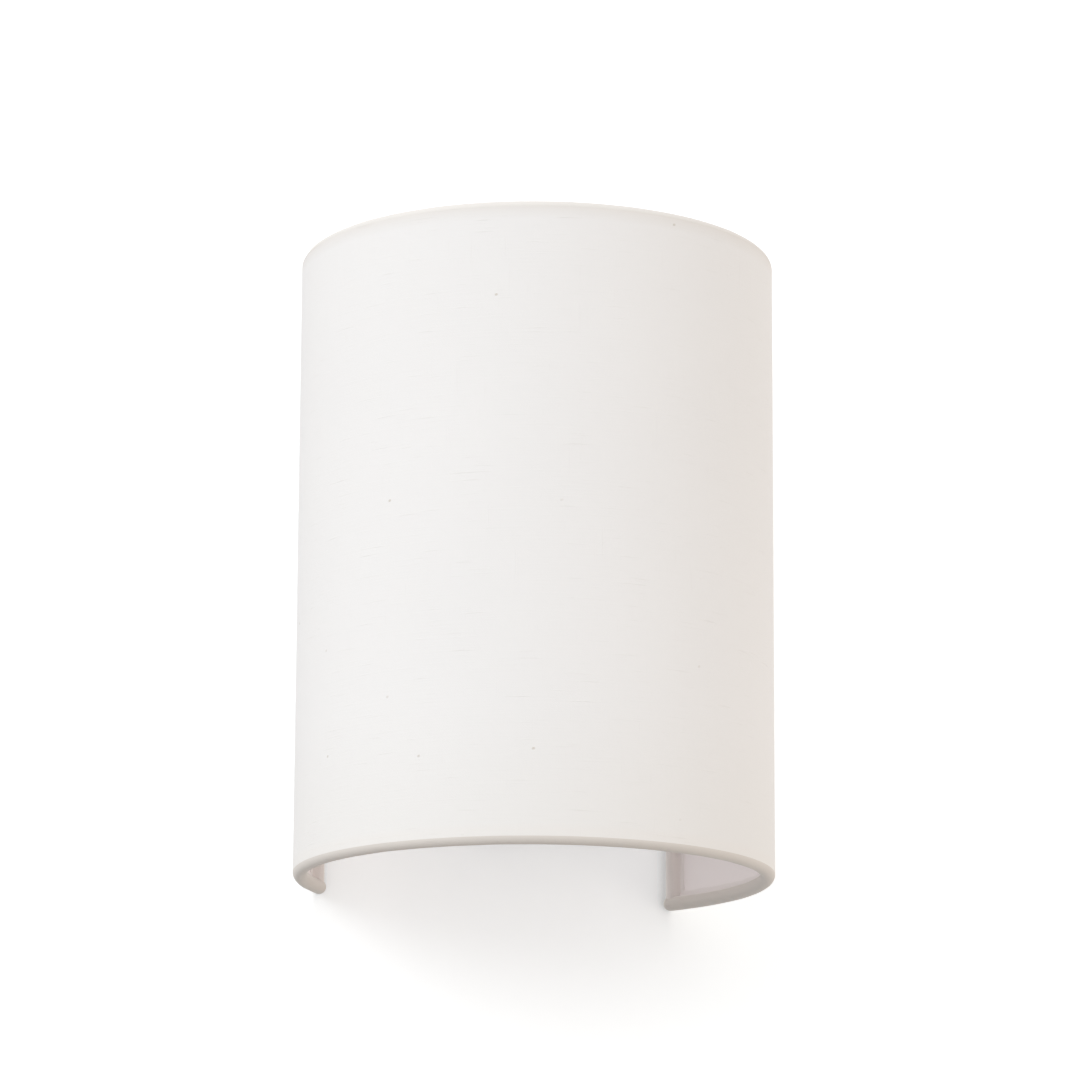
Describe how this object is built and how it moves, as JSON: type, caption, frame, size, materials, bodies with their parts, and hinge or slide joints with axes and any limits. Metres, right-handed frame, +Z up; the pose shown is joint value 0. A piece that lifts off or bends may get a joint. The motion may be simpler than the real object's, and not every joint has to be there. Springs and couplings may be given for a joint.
{
  "type": "wall light",
  "caption": "Wall light with a white fabric drum-segment shade, open at top, bottom and back, hooked over a folded steel bracket that holds a screw-base lampholder and bulb.",
  "frame": {"origin": "middle of the two wall screw slots on the bracket's back face, which is the plane of the wall, at the shade's mid-height", "axes": "+Z up along the shade's height, its longest extent; +Y into the wall; +X to the right seen from the room"},
  "size_m": [0.166, 0.1344, 0.22],
  "materials": {
    "cotton": "plain woven white cotton, matt",
    "lining": "white laminated lining sheet, matt",
    "wire_coat": "white plastic-coated steel wire",
    "white_steel": "white powder coat, fine satin",
    "zinc": "zinc-plated steel, satin",
    "brass": "plain brass",
    "rubber": "black rubber",
    "cover_white": "white moulded plastic, fine grain",
    "natural_plastic": "natural polyamide",
    "holder_white": "white thermoplastic, satin",
    "porcelain": "unglazed white porcelain",
    "brown_lead": "brown insulation",
    "blue_lead": "blue insulation",
    "green_lead": "green and yellow insulation",
    "bulb_white": "white moulded housing",
    "opal": "opal diffuser, satin",
    "cap_metal": "nickel-plated cap",
    "black_glass": "black insulator"
  },
  "bodies": {
    "bracket": {"wall_plate": "white_steel", "hanger_studs": "zinc", "cable_grommet": "rubber", "shelf_grommet": "rubber", "terminal_cover": "cover_white", "cover_screws": "zinc", "terminal_block": "natural_plastic", "terminal_clamps": "brass", "terminal_screws": "zinc", "block_screw": "zinc", "earth_screw": "brass", "earth_washer": "zinc", "earth_tag": "brass", "earth_wire": "green_lead", "live_wire": "brown_lead", "neutral_wire": "blue_lead", "threaded_nipple": "zinc", "tooth_washer": "zinc", "lock_nut": "zinc", "nipple_bush": "natural_plastic", "holder_cap": "holder_white", "holder_skirt": "holder_white", "holder_insert": "porcelain", "screw_shell": "brass", "centre_contact": "brass", "contact_pillars": "brass", "contact_screws": "zinc"},
    "shade": {"shade_fabric": "cotton", "shade_lining": "lining", "top_hem": "cotton", "bottom_hem": "cotton", "left_binding": "cotton", "right_binding": "cotton", "top_wire": "wire_coat", "bottom_wire": "wire_coat", "left_wire": "wire_coat", "right_wire": "wire_coat", "carrier_bar": "white_steel"},
    "bulb_core": {"bulb_insulator": "black_glass", "bulb_contact": "brass"},
    "bulb": {"bulb_cap": "cap_metal", "bulb_body": "bulb_white", "bulb_diffuser": "opal"}
  },
  "joints": [
    {"name": "shade_lift", "type": "slide", "parent": "bracket", "child": "shade", "axis": [0, 0, 1], "range_m": [0, 0.014]},
    {"name": "bulb_rise", "type": "slide", "parent": "bracket", "child": "bulb_core", "axis": [0, 0, 1], "range_m": [0, 0.01815]},
    {"name": "bulb_turn", "type": "hinge", "parent": "bulb_core", "child": "bulb", "pos_m": [0, -0.062, 0], "axis": [0, 0, 1], "range_deg": [0, 1800]}
  ],
  "couplings": [
    {"joint": "bulb_rise", "follows": "bulb_turn", "m_per_rad": 0.00057757}
  ]
}
